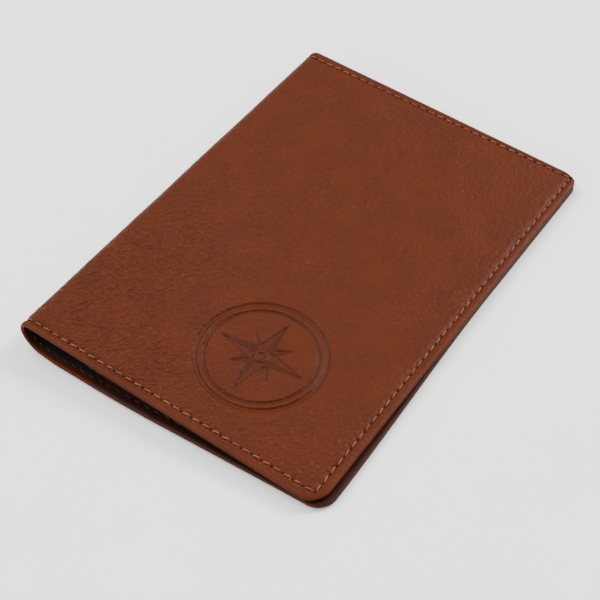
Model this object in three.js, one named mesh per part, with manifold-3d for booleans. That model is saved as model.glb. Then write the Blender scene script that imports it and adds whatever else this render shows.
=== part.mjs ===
// Passport holder: a leather book cover that folds round a passport, stitched all the way round.
// Millimetres. +X from the spine to the opening edge, +Y up the spine, +Z up; it lies closed on
// its back cover, with the origin under the middle of its box.
import * as THREE from 'three';
import { mergeVertices } from 'three/addons/utils/BufferGeometryUtils.js';
import Module from 'manifold-3d';

const wasm = await Module();
wasm.setup();

// Driving dimensions.
const COVER_HEIGHT = 140;        // along the spine
const CLOSED_WIDTH = 98;         // spine to opening edge
const WEDGE_DEG = 4;             // the front cover slopes down from the spine to the opening edge
const LOWER_BEND_RADIUS = 6.3;   // outside of the roll, where the back cover turns up
const UPPER_BEND_RADIUS = 3.6;   // outside of the roll, where the front cover turns over
const CORNER_RADIUS = 5.5;       // the two opening corners of each cover
const OUTER_LEATHER = 0.65;      // skived full-grain leather
const TURNED_EDGE = 0.35;        // the thinned margin that is folded in
const TURN_IN_WIDTH = 8;         // how far the folded margin reaches in
const BOARD = 0.25;              // stiffener
const LINING = 0.1;              // woven textile
const POCKET_LEATHER = 0.45;     // sleeves and card facings
const GLUE_GAP = 0.05;           // between laid layers
const HINGE_GAP = 0.3;           // cut between the halves of each bend
const SEAM_INSET = 2.65;         // perimeter seam from the edge
const LINING_INSET = 1.2;        // the folded edge shows outside the lining and sleeves
const THREAD_WIDTH = 0.5;
const THREAD_DEPTH = 0.25;
const THREAD_CLEARANCE = 0.1;    // round each thread in its groove
const SLEEVE_WIDTH = 73;         // passport sleeve, from the opening edge to its mouth
const HEM_INSET = 2.5;           // hem seam from the sleeve's mouth
const HEM_SEAM_HALF = 66;        // half the length of the hem seam
const CARD_WIDTH = 54;           // ISO ID-1 card, held upright
const CARD_BLOCK = { margin: 2.5, edgeGap: 12.5, bottom: -62, seamInset: 1.5 };
const CARD_DEPTH = 76;           // how deep a card goes; 9.6 of its 85.6 mm stands out
const CARD_STEP = 14;            // from one card mouth to the next
const CARD_MOUTH_GAP = 0.3;
const CARD_TAIL = 0.1;           // textile tail behind a facing
const TAIL_UNDERLAP = 2;
const BEND_STEPS = 7;            // flats in half a bend
const BOARD_START = 3;           // the boards stop short of the bends
const GROOVE_REACH = 1;          // how far a groove's cutter stands out of its face

const wedge = THREE.MathUtils.degToRad(WEDGE_DEG);
const bendAngle = Math.PI / 2 + wedge / 2;   // the two bends turn the leather equally
const halfHeight = COVER_HEIGHT / 2;
const bendStart = -CLOSED_WIDTH / 2 + LOWER_BEND_RADIUS;
const seamHalf = halfHeight - SEAM_INSET;

// Depths are measured inward from the leather's outer face.
const rimDepth = OUTER_LEATHER + TURNED_EDGE;
const boardDepth = OUTER_LEATHER + GLUE_GAP;
const liningDepth = rimDepth + GLUE_GAP;
const sleeveDepth = liningDepth + LINING + GLUE_GAP;
const sleeveFace = sleeveDepth + POCKET_LEATHER;
const tailDepths = [sleeveFace + GLUE_GAP, sleeveFace + 2 * GLUE_GAP + CARD_TAIL];
const facingDepth = sleeveFace + 3 * GLUE_GAP + 2 * CARD_TAIL;
const facingFace = facingDepth + POCKET_LEATHER;

// Centres of the two bends, in the X-Z plane, and where the front cover leaves the roll.
const lowerCentre = new THREE.Vector2(bendStart, LOWER_BEND_RADIUS);
const upperCentre = onArc(lowerCentre, LOWER_BEND_RADIUS - UPPER_BEND_RADIUS, bendAngle);
const frontStart = onArc(upperCentre, UPPER_BEND_RADIUS, 2 * bendAngle);

// A cover is laid out in its own frame: u from where its bend starts to the opening edge, y up
// the spine, and depth inward. Each cover knows its length, its bend and how it is placed.
const covers = {
  back: {
    length: CLOSED_WIDTH / 2 - bendStart,
    radius: LOWER_BEND_RADIUS,
    matrix: new THREE.Matrix4().makeTranslation(bendStart, 0, 0),
  },
  front: {
    length: (CLOSED_WIDTH / 2 - frontStart.x) / Math.cos(wedge),
    radius: UPPER_BEND_RADIUS,
    matrix: new THREE.Matrix4().set(
      Math.cos(wedge), 0, -Math.sin(wedge), frontStart.x,
      0, 1, 0, 0,
      -Math.sin(wedge), 0, -Math.cos(wedge), frontStart.y,
      0, 0, 0, 1),
  },
};

// A point at this radius on a bend, turned by angle from straight down towards the spine side.
function onArc(centre, radius, angle) {
  return new THREE.Vector2(
    centre.x - radius * Math.sin(angle),
    centre.y - radius * Math.cos(angle));
}

// ---------- solids ----------

function welded(geometry) {
  const bare = geometry.clone();
  bare.deleteAttribute('normal');
  bare.deleteAttribute('uv');
  return facingOut(mergeVertices(bare, 1e-5));
}

// Turns the triangles round if they face inward, as they do after a mirrored placing.
function facingOut(geometry) {
  const p = geometry.getAttribute('position');
  const index = geometry.getIndex().array;
  const [a, b, c] = [new THREE.Vector3(), new THREE.Vector3(), new THREE.Vector3()];
  let volume = 0;
  for (let i = 0; i < index.length; i += 3) {
    a.fromBufferAttribute(p, index[i]);
    b.fromBufferAttribute(p, index[i + 1]);
    c.fromBufferAttribute(p, index[i + 2]);
    volume += a.dot(b.cross(c));
  }
  if (volume < 0) {
    for (let i = 0; i < index.length; i += 3) {
      [index[i], index[i + 1]] = [index[i + 1], index[i]];
    }
  }
  return geometry;
}

function toManifold(geometry) {
  const g = welded(geometry);
  return new wasm.Manifold(new wasm.Mesh({
    numProp: 3,
    vertProperties: new Float32Array(g.getAttribute('position').array),
    triVerts: new Uint32Array(g.getIndex().array),
  }));
}

function toGeometry(solid) {
  const mesh = solid.getMesh();
  const geometry = new THREE.BufferGeometry();
  geometry.setAttribute('position', new THREE.BufferAttribute(mesh.vertProperties, 3));
  geometry.setIndex(new THREE.BufferAttribute(mesh.triVerts, 1));
  return geometry;
}

function joined(geometries) {
  return geometries.map(toManifold).reduce((sum, next) => sum.add(next));
}

function cutFrom(solid, geometries) {
  return geometries.length ? solid.subtract(joined(geometries)) : solid;
}

// ---------- shapes in a cover's frame ----------

// A flat layer with this outline, between two depths.
function layer(outline, depth, thickness) {
  const options = { depth: thickness, bevelEnabled: false, curveSegments: 8 };
  return new THREE.ExtrudeGeometry(outline, options).translate(0, 0, depth);
}

function rectangle(u0, u1, y0, y1) {
  return new THREE.Shape([
    new THREE.Vector2(u0, y0),
    new THREE.Vector2(u1, y0),
    new THREE.Vector2(u1, y1),
    new THREE.Vector2(u0, y1),
  ]);
}

// The cover's outline, pulled in by inset on three sides, with its two opening corners rounded.
function coverOutline(u0, length, inset) {
  const u1 = length - inset;
  const y1 = halfHeight - inset;
  const r = CORNER_RADIUS - inset;
  const outline = new THREE.Shape();
  outline.moveTo(u0, -y1);
  outline.lineTo(u1 - r, -y1);
  outline.absarc(u1 - r, -y1 + r, r, -Math.PI / 2, 0, false);
  outline.lineTo(u1, y1 - r);
  outline.absarc(u1 - r, y1 - r, r, 0, Math.PI / 2, false);
  outline.lineTo(u0, y1);
  return outline;
}

// The folded margin: the cover's outline with the middle open towards the spine.
function turnedOutline(length) {
  const outline = coverOutline(0, length, 0);
  const u1 = length - TURN_IN_WIDTH;
  const y1 = halfHeight - TURN_IN_WIDTH;
  outline.lineTo(0, y1);
  outline.lineTo(u1, y1);
  outline.lineTo(u1, -y1);
  outline.lineTo(0, -y1);
  return outline;
}

// Three sides of a seam as a ribbon: out along y0, up along u1, back along y1.
function seamRibbon(u0, u1, y0, y1, width) {
  const w = width / 2;
  return new THREE.Shape([
    new THREE.Vector2(u0, y0 - w),
    new THREE.Vector2(u1 + w, y0 - w),
    new THREE.Vector2(u1 + w, y1 + w),
    new THREE.Vector2(u0, y1 + w),
    new THREE.Vector2(u0, y1 - w),
    new THREE.Vector2(u1 - w, y1 - w),
    new THREE.Vector2(u1 - w, y0 + w),
    new THREE.Vector2(u0, y0 + w),
  ]);
}

// Bends a box: along runs from 0 to 1 through the steps, and place gives each point's X and Z.
function bentBox(y0, y1, depth, thickness, steps, place) {
  const box = new THREE.BoxGeometry(1, y1 - y0, thickness, steps, 1, 1);
  const p = box.getAttribute('position');
  for (let i = 0; i < p.count; i++) {
    const at = place(p.getX(i) + 0.5, depth + p.getZ(i) + thickness / 2);
    p.setXYZ(i, at.x, p.getY(i) + (y0 + y1) / 2, at.y);
  }
  return box;
}

// The angle that half the hinge gap takes at this radius.
function gapAngle(radius) {
  return Math.asin(HINGE_GAP / 2 / radius);
}

// A cover's half of its bend, in the cover's frame.
function coverBend(cover, y0, y1, depth, thickness) {
  const centre = new THREE.Vector2(0, cover.radius);
  return bentBox(y0, y1, depth, thickness, BEND_STEPS, (along, d) => {
    const radius = cover.radius - d;
    return onArc(centre, radius, along * (bendAngle / 2 - gapAngle(radius)));
  });
}

// The spine's half of both bends, in the object's frame.
function spineBend(y0, y1, depth, thickness) {
  return bentBox(y0, y1, depth, thickness, 2 * BEND_STEPS, (along, d) => {
    const lower = LOWER_BEND_RADIUS - d;
    const upper = UPPER_BEND_RADIUS - d;
    const first = bendAngle / 2 + gapAngle(lower);
    const last = 1.5 * bendAngle - gapAngle(upper);
    return along <= 0.5
      ? onArc(lowerCentre, lower, THREE.MathUtils.lerp(first, bendAngle, 2 * along))
      : onArc(upperCentre, upper, THREE.MathUtils.lerp(bendAngle, last, 2 * along - 1));
  });
}

// The perimeter seam of a cover, flat along three sides and on through the bend.
function perimeterSeam(cover, width, depth, thickness) {
  const u1 = cover.length - SEAM_INSET;
  const w = width / 2;
  return [
    layer(seamRibbon(0, u1, -seamHalf, seamHalf, width), depth, thickness),
    coverBend(cover, -seamHalf - w, -seamHalf + w, depth, thickness),
    coverBend(cover, seamHalf - w, seamHalf + w, depth, thickness),
  ];
}

const grooveWidth = THREAD_WIDTH + 2 * THREAD_CLEARANCE;
const outerThreadDepth = THREAD_CLEARANCE / 2;
const outerGroove = {
  depth: -GROOVE_REACH,
  thickness: GROOVE_REACH + outerThreadDepth + THREAD_DEPTH + GLUE_GAP,
};

// A thread lies just below a face turned inward; its groove opens through that face.
function threadBelow(face) {
  return face - GLUE_GAP - THREAD_DEPTH;
}

function grooveBelow(face) {
  return { depth: threadBelow(face) - GLUE_GAP, thickness: GROOVE_REACH };
}

// ---------- pieces of a cover ----------

function outerLeather(cover) {
  const overlap = OUTER_LEATHER / 2;
  const turned = TURNED_EDGE + overlap;
  const inner = halfHeight - TURN_IN_WIDTH;
  const body = joined([
    layer(coverOutline(0, cover.length, 0), 0, OUTER_LEATHER),
    layer(turnedOutline(cover.length), overlap, turned),
    coverBend(cover, -halfHeight, halfHeight, 0, OUTER_LEATHER),
    coverBend(cover, -halfHeight, -inner, overlap, turned),
    coverBend(cover, inner, halfHeight, overlap, turned),
  ]);
  const groove = perimeterSeam(cover, grooveWidth, outerGroove.depth, outerGroove.thickness);
  return cutFrom(body, groove);
}

function stiffenerBoard(cover) {
  const gap = TURN_IN_WIDTH + HINGE_GAP;
  const y1 = halfHeight - gap;
  return layer(rectangle(BOARD_START, cover.length - gap, -y1, y1), boardDepth, BOARD);
}

function lining(cover) {
  const y1 = halfHeight - LINING_INSET;
  return joined([
    layer(coverOutline(0, cover.length, LINING_INSET), liningDepth, LINING),
    coverBend(cover, -y1, y1, liningDepth, LINING),
  ]);
}

function hemBar(cover, width, depth, thickness) {
  const u = cover.length - SLEEVE_WIDTH + HEM_INSET;
  const w = width / 2;
  return layer(rectangle(u - w, u + w, -HEM_SEAM_HALF, HEM_SEAM_HALF), depth, thickness);
}

function passportSleeve(cover) {
  const u0 = cover.length - SLEEVE_WIDTH;
  const panel = layer(coverOutline(u0, cover.length, LINING_INSET), sleeveDepth, POCKET_LEATHER);
  const { depth, thickness } = grooveBelow(sleeveFace);
  const seam = perimeterSeam(cover, grooveWidth, depth, thickness);
  return cutFrom(toManifold(panel), [seam[0], hemBar(cover, grooveWidth, depth, thickness)]);
}

function needleThread(cover) {
  return joined(perimeterSeam(cover, THREAD_WIDTH, outerThreadDepth, THREAD_DEPTH));
}

function bobbinThread(cover) {
  return joined(perimeterSeam(cover, THREAD_WIDTH, threadBelow(sleeveFace), THREAD_DEPTH));
}

function hemThread(cover) {
  const bar = hemBar(cover, THREAD_WIDTH, threadBelow(sleeveFace), THREAD_DEPTH);
  return bar.scale(1, (HEM_SEAM_HALF - THREAD_CLEARANCE) / HEM_SEAM_HALF, 1);
}

// ---------- the card block on the front cover's sleeve ----------

const cardEnd = covers.front.length - CARD_BLOCK.edgeGap;
const cardStart = cardEnd - CARD_WIDTH - 2 * CARD_BLOCK.margin;
const cardMouths = [0, 1, 2].map((i) => CARD_BLOCK.bottom + CARD_DEPTH + i * CARD_STEP);

function cardSeam(width, depth, thickness) {
  const inset = CARD_BLOCK.seamInset;
  const top = cardMouths[cardMouths.length - 1] - inset;
  const w = width / 2;
  const left = cardStart + inset;
  const right = cardEnd - inset;
  const bottom = CARD_BLOCK.bottom + inset;
  const outline = new THREE.Shape([
    new THREE.Vector2(left - w, bottom - w),
    new THREE.Vector2(right + w, bottom - w),
    new THREE.Vector2(right + w, top + w),
    new THREE.Vector2(right - w, top + w),
    new THREE.Vector2(right - w, bottom + w),
    new THREE.Vector2(left + w, bottom + w),
    new THREE.Vector2(left + w, top + w),
    new THREE.Vector2(left - w, top + w),
  ]);
  return layer(outline, depth, thickness);
}

function cardFacing(i) {
  const y0 = i === 0 ? CARD_BLOCK.bottom : cardMouths[i - 1] + CARD_MOUTH_GAP;
  const outline = rectangle(cardStart, cardEnd, y0, cardMouths[i]);
  const { depth, thickness } = grooveBelow(facingFace);
  const strip = toManifold(layer(outline, facingDepth, POCKET_LEATHER));
  return cutFrom(strip, [cardSeam(grooveWidth, depth, thickness)]);
}

// The textile tail hangs behind the lower facings and stops the card of its own pocket.
function cardTail(i) {
  const y0 = cardMouths[i] - CARD_DEPTH;
  const y1 = cardMouths[i - 1] + CARD_MOUTH_GAP + TAIL_UNDERLAP;
  return layer(rectangle(cardStart, cardEnd, y0, y1), tailDepths[2 - i], CARD_TAIL);
}

// ---------- the spine ----------

function spineLeather() {
  const overlap = OUTER_LEATHER / 2;
  const turned = TURNED_EDGE + overlap;
  const inner = halfHeight - TURN_IN_WIDTH;
  const body = joined([
    spineBend(-halfHeight, halfHeight, 0, OUTER_LEATHER),
    spineBend(-halfHeight, -inner, overlap, turned),
    spineBend(inner, halfHeight, overlap, turned),
  ]);
  const w = grooveWidth / 2;
  const grooves = [-seamHalf, seamHalf].map((y) =>
    spineBend(y - w, y + w, outerGroove.depth, outerGroove.thickness));
  return cutFrom(body, grooves);
}

function spineTape() {
  const y1 = halfHeight - TURN_IN_WIDTH - HINGE_GAP;
  return spineBend(-y1, y1, boardDepth, BOARD);
}

function spineLining() {
  const y1 = halfHeight - LINING_INSET;
  return spineBend(-y1, y1, liningDepth, LINING);
}

function spineThread(y, depth) {
  const w = THREAD_WIDTH / 2;
  return spineBend(y - w, y + w, depth, THREAD_DEPTH);
}

// ---------- materials and assembly ----------

const finish = (color, roughness) =>
  new THREE.MeshStandardMaterial({ color, roughness, metalness: 0 });

const materials = {
  outerLeather: finish(0x7b432c, 0.5),
  pocketLeather: finish(0x74402a, 0.55),
  thread: finish(0xb0714a, 0.6),
  board: finish(0x8f8a80, 0.9),
  textile: finish(0x2c2623, 0.9),
};

const holder = new THREE.Group();

function add(parent, name, shape, material) {
  const geometry = shape instanceof THREE.BufferGeometry ? welded(shape) : toGeometry(shape);
  const mesh = new THREE.Mesh(geometry, material);
  mesh.name = name;
  parent.add(mesh);
}

// The pieces are placed by their points, so that a mirrored placing keeps its faces outward.
function addToCover(name, coverName, shape, material) {
  const geometry = shape instanceof THREE.BufferGeometry ? welded(shape) : toGeometry(shape);
  add(holder, name, geometry.applyMatrix4(covers[coverName].matrix), material);
}

for (const [name, cover] of Object.entries(covers)) {
  addToCover(`${name}_outer_leather`, name, outerLeather(cover), materials.outerLeather);
  addToCover(`${name}_stiffener_board`, name, stiffenerBoard(cover), materials.board);
  addToCover(`${name}_lining`, name, lining(cover), materials.textile);
  addToCover(`${name}_passport_sleeve`, name, passportSleeve(cover), materials.pocketLeather);
  addToCover(`${name}_needle_thread`, name, needleThread(cover), materials.thread);
  addToCover(`${name}_bobbin_thread`, name, bobbinThread(cover), materials.thread);
  addToCover(`${name}_sleeve_hem_thread`, name, hemThread(cover), materials.thread);
}

cardMouths.forEach((mouth, i) => {
  addToCover(`card_facing_${i + 1}`, 'front', cardFacing(i), materials.pocketLeather);
});
for (const i of [1, 2]) {
  addToCover(`card_pocket_tail_${i + 1}`, 'front', cardTail(i), materials.textile);
}
const cardThread = cardSeam(THREAD_WIDTH, threadBelow(facingFace), THREAD_DEPTH);
addToCover('card_block_thread', 'front', cardThread, materials.thread);

add(holder, 'spine_outer_leather', spineLeather(), materials.outerLeather);
add(holder, 'spine_reinforcement_tape', spineTape(), materials.board);
add(holder, 'spine_lining', spineLining(), materials.textile);
for (const [end, y] of [['near', -seamHalf], ['far', seamHalf]]) {
  const needle = spineThread(y, outerThreadDepth);
  const bobbin = spineThread(y, threadBelow(sleeveFace));
  add(holder, `spine_needle_thread_${end}`, needle, materials.thread);
  add(holder, `spine_bobbin_thread_${end}`, bobbin, materials.thread);
}

export default holder;
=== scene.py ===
import math
import bpy
import numpy as np
from mathutils import Matrix, Vector


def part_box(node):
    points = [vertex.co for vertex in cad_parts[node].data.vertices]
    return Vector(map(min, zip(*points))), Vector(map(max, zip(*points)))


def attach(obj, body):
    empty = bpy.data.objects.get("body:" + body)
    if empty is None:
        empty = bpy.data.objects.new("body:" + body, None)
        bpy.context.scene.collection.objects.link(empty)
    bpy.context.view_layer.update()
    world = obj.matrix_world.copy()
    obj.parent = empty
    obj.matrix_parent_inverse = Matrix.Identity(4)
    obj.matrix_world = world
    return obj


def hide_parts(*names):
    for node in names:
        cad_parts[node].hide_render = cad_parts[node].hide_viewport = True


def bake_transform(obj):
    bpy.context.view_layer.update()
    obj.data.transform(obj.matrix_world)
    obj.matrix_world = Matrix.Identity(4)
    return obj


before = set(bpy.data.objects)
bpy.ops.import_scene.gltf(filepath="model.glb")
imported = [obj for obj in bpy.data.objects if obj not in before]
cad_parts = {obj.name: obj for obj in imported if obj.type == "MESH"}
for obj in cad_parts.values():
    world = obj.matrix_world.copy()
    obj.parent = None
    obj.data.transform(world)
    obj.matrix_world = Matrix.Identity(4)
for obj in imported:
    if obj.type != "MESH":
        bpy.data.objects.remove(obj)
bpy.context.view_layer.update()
print("frame loaded")

# Everything below is worked out in millimetres and turned to metres when a mesh is made.
metresPerMm = 0.001

# The leather cover's own shape. Depth is measured inward from its outer face.
holder = {
    "lowerBend": 6.3,
    "upperBend": 3.6,
    "wedge": math.radians(4.0),
    "cornerRadius": 5.5,
    "seamInset": 2.65,
    "stitchPitch": 3.155,
    "firstStitch": {"near": 1.128, "far": 0.816, "front": 1.063, "back": 0.94},
    "sleeveWidth": 73.0,
    "sleeveDepth": (1.27, 1.64),
    "liningDepth": (1.03, 1.13),
}
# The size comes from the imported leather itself, so nothing else in the scene can change it.
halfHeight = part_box("back_outer_leather")[1].y / metresPerMm
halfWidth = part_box("back_outer_leather")[1].x / metresPerMm
bendAngle = math.pi / 2 + holder["wedge"] / 2
seamHalf = halfHeight - holder["seamInset"]
lowerCentre = np.array([holder["lowerBend"] - halfWidth, holder["lowerBend"]])
outward = np.array([math.sin(bendAngle), math.cos(bendAngle)])
upperCentre = lowerCentre - (holder["lowerBend"] - holder["upperBend"]) * outward
wedgeSin, wedgeCos = math.sin(holder["wedge"]), math.cos(holder["wedge"])
frontStart = upperCentre + holder["upperBend"] * np.array([wedgeSin, wedgeCos])

# Each cover runs in u from the middle of the spine, at -bend, to its opening edge, at length.
covers = {
    "back": {
        "radius": holder["lowerBend"],
        "bend": holder["lowerBend"] * bendAngle,
        "length": halfWidth - lowerCentre[0],
    },
    "front": {
        "radius": holder["upperBend"],
        "bend": holder["upperBend"] * bendAngle,
        "length": (halfWidth - frontStart[0]) / wedgeCos,
    },
}

# A hand-made cover isn't a perfect rectangle: its rims run a little askew of the seam, and the
# back cover has slid slightly under the front one and bows out along its near edge.
askew = {
    "front": {"near": (-0.3, 0.6), "far": (0.27, -0.85), "opening": (0.25, -0.3)},
    "back": {"near": (-0.3, 0.1), "far": (0.27, -0.2), "opening": (0.0, 0.0)},
    "spineTurn": 0.45,
    "backShift": 2.3,
    "backTuck": -0.35,
    "backBow": 0.85,
    "backBulge": 0.95,
}


def smooth(low, high, value):
    t = np.clip((value - low) / (high - low), 0, 1)
    return t * t * (3 - 2 * t)


def softOutline(side, u, y):
    length = covers[side]["length"]
    along = np.clip(u / length, 0, 1)
    near, far = (np.interp(along, (0, 1), askew[side][k]) for k in ("near", "far"))
    opening = np.interp(y, (-halfHeight, halfHeight), askew[side]["opening"])
    rim = holder["seamInset"]
    outside = smooth(seamHalf, halfHeight - 0.5, np.abs(y))
    shiftY = outside * np.where(y < 0, -near, far)
    shiftU = smooth(length - rim, length - 0.5, u) * opening
    if side == "back":
        grown = smooth(0, 1, along)
        shiftU = shiftU + (askew["backShift"] * smooth(15, -70, y) + askew["backTuck"]) * grown
        bow = askew["backBow"] * np.sin(math.pi * along) ** 2
        bow = bow + askew["backBulge"] * smooth(-7, 8, u) * smooth(58, 18, u)
        shiftY = shiftY - bow * smooth(0, seamHalf, -y)
    return u + shiftU, y + shiftY


def place(side, u, y, depth):
    u, y, depth = np.broadcast_arrays(u, y, depth)
    u, y = softOutline(side, u, y)
    cover = covers[side]
    angle = np.clip(-u / cover["radius"], 0, bendAngle)
    flat = np.maximum(u, 0)
    arm = cover["radius"] - depth
    if side == "back":
        x = lowerCentre[0] + flat - arm * np.sin(angle)
        z = lowerCentre[1] - arm * np.cos(angle)
    else:
        swept = 2 * bendAngle - angle
        x = upperCentre[0] + flat * wedgeCos - arm * np.sin(swept)
        z = upperCentre[1] - flat * wedgeSin - arm * np.cos(swept)
    x = x - askew["spineTurn"] * y / halfHeight * smooth(30, 0, u)
    return np.stack([x, y, z], -1)


# Distance along the leather from the middle of the spine, so that a pattern runs on over it.
def alongLeather(side, u):
    s = u + covers[side]["bend"]
    return s if side == "front" else -s


def flatDepth(value):
    return lambda u, y: value + 0 * u


def scatter(ix, iy, seed):
    n = ix.astype(np.int64) * 374761393 + iy.astype(np.int64) * 668265263 + seed * 144665
    n = ((n & 0xFFFFFFFF) ^ ((n & 0xFFFFFFFF) >> 13)) * 1274126177 & 0xFFFFFFFF
    return ((n ^ (n >> 16)) & 0xFFFF) / 65535.0


def softNoise(x, y, seed):
    ix, iy = np.floor(x), np.floor(y)
    fx, fy = x - ix, y - iy
    total = np.zeros(np.shape(fx))
    for dx in (0, 1):
        for dy in (0, 1):
            angle = 2 * math.pi * scatter(ix + dx, iy + dy, seed)
            ramp = np.cos(angle) * (fx - dx) + np.sin(angle) * (fy - dy)
            wx = fx if dx else 1 - fx
            wy = fy if dy else 1 - fy
            total = total + ramp * wx * wx * (3 - 2 * wx) * wy * wy * (3 - 2 * wy)
    return total * 1.4


def grainCells(x, y, seed):
    ix, iy = np.floor(x), np.floor(y)
    first = np.full(np.shape(x), 9.0)
    second = np.full(np.shape(x), 9.0)
    for dx in (-1, 0, 1):
        for dy in (-1, 0, 1):
            cx, cy = ix + dx, iy + dy
            px = cx + 0.12 + 0.76 * scatter(cx, cy, seed)
            py = cy + 0.12 + 0.76 * scatter(cx, cy, seed + 7)
            d = np.hypot(x - px, y - py)
            second = np.minimum(second, np.maximum(first, d))
            first = np.minimum(first, d)
    return second - first


# Needle holes. The seam runs parallel to the cover's edge, with a hole at each sharp corner.
def seamHoles():
    pitch, inset = holder["stitchPitch"], holder["seamInset"]
    endFront = alongLeather("front", covers["front"]["length"] - inset)
    endBack = alongLeather("back", covers["back"]["length"] - inset)
    found = {"front": {}, "back": {}}
    for edge, y in (("near", -seamHalf), ("far", seamHalf)):
        first = holder["firstStitch"][edge]
        s = np.r_[endFront, np.arange(endFront - first * pitch, endBack + 0.6 * pitch, -pitch), endBack]
        ends = np.stack([s[:-1], s[1:]], 1)
        middle = ends.mean(1)
        for side, mine in (("front", middle >= 0), ("back", middle < 0)):
            u = np.abs(ends[mine]) * np.where((ends[mine] >= 0) == (side == "front"), 1, -1)
            u = u - covers[side]["bend"]
            found[side][edge] = np.stack([u, np.full(u.shape, y)], -1)
    for side in ("front", "back"):
        first = holder["firstStitch"][side]
        y = np.r_[0, np.arange(first * pitch, 2 * seamHalf - 0.4 * pitch, pitch), 2 * seamHalf]
        y = y - seamHalf
        end = covers[side]["length"] - inset
        pairs = np.stack([y[:-1], y[1:]], 1)
        found[side]["opening"] = np.stack([np.full(pairs.shape, end), pairs], -1)
    return found


stitchEnds = seamHoles()


def seamDistance(side, u, y):
    end = covers[side]["length"] - holder["seamInset"]
    toSides = np.where(u <= end, np.abs(np.abs(y) - seamHalf), 99)
    toOpening = np.where(np.abs(y) <= seamHalf, np.abs(u - end), 99)
    toCorner = np.hypot(u - end, np.abs(y) - seamHalf)
    return np.minimum(np.minimum(toSides, toOpening), toCorner)


def holeCloseness(side, u, y, alongWidth, acrossWidth):
    best = np.zeros(np.shape(u))
    for edge, ends in stitchEnds[side].items():
        axis = 1 if edge == "opening" else 0
        line = ends[0, 0, 1 - axis]
        along, across = (y, u - line) if axis else (u, y - line)
        spots = np.unique(np.round(ends[:, :, axis], 4))
        k = np.clip(np.searchsorted(spots, along), 1, len(spots) - 1)
        gap = np.minimum(np.abs(along - spots[k - 1]), np.abs(along - spots[k]))
        close = np.exp(-((gap / alongWidth) ** 2) - (across / acrossWidth) ** 2)
        best = np.maximum(best, close)
    return best


print("outline and seams laid out")


def addMesh(name, points, faces, uv=None, marks=None, sharp=40):
    mesh = bpy.data.meshes.new(name)
    mesh.from_pydata((np.asarray(points) * metresPerMm).tolist(), [], faces)
    mesh.update()
    if uv is not None:
        layer = mesh.uv_layers.new(name="leatherUv")
        loopVerts = np.zeros(len(mesh.loops), np.int32)
        mesh.loops.foreach_get("vertex_index", loopVerts)
        layer.data.foreach_set("uv", uv[loopVerts].astype(np.float32).ravel())
    for key, values in (marks or {}).items():
        attribute = mesh.attributes.new(key, "FLOAT", "POINT")
        attribute.data.foreach_set("value", np.asarray(values, np.float32))
    mesh.shade_smooth()
    mesh.set_sharp_from_angle(angle=math.radians(sharp))
    piece = bpy.data.objects.new(name, mesh)
    bpy.context.scene.collection.objects.link(piece)
    return piece


def facesOut(points, faces):
    p = np.asarray(points)
    middle = p.mean(0)
    total = 0.0
    for size in {len(f) for f in faces}:
        same = np.array([f for f in faces if len(f) == size])
        for k in range(1, size - 1):
            a, b, c = p[same[:, 0]] - middle, p[same[:, k]] - middle, p[same[:, k + 1]] - middle
            total += np.einsum("ij,ij->", a, np.cross(b, c))
    return faces if total > 0 else [f[::-1] for f in faces]


# Grid lines from a list of (place, step), the step holding up to that place.
def spread(*stops):
    lines = [stops[0][0]]
    for (start, _), (end, step) in zip(stops, stops[1:]):
        count = max(1, round((end - start) / step))
        lines += [start + (end - start) * k / count for k in range(1, count + 1)]
    return np.array(lines)


uvPerMm = 0.01


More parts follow.
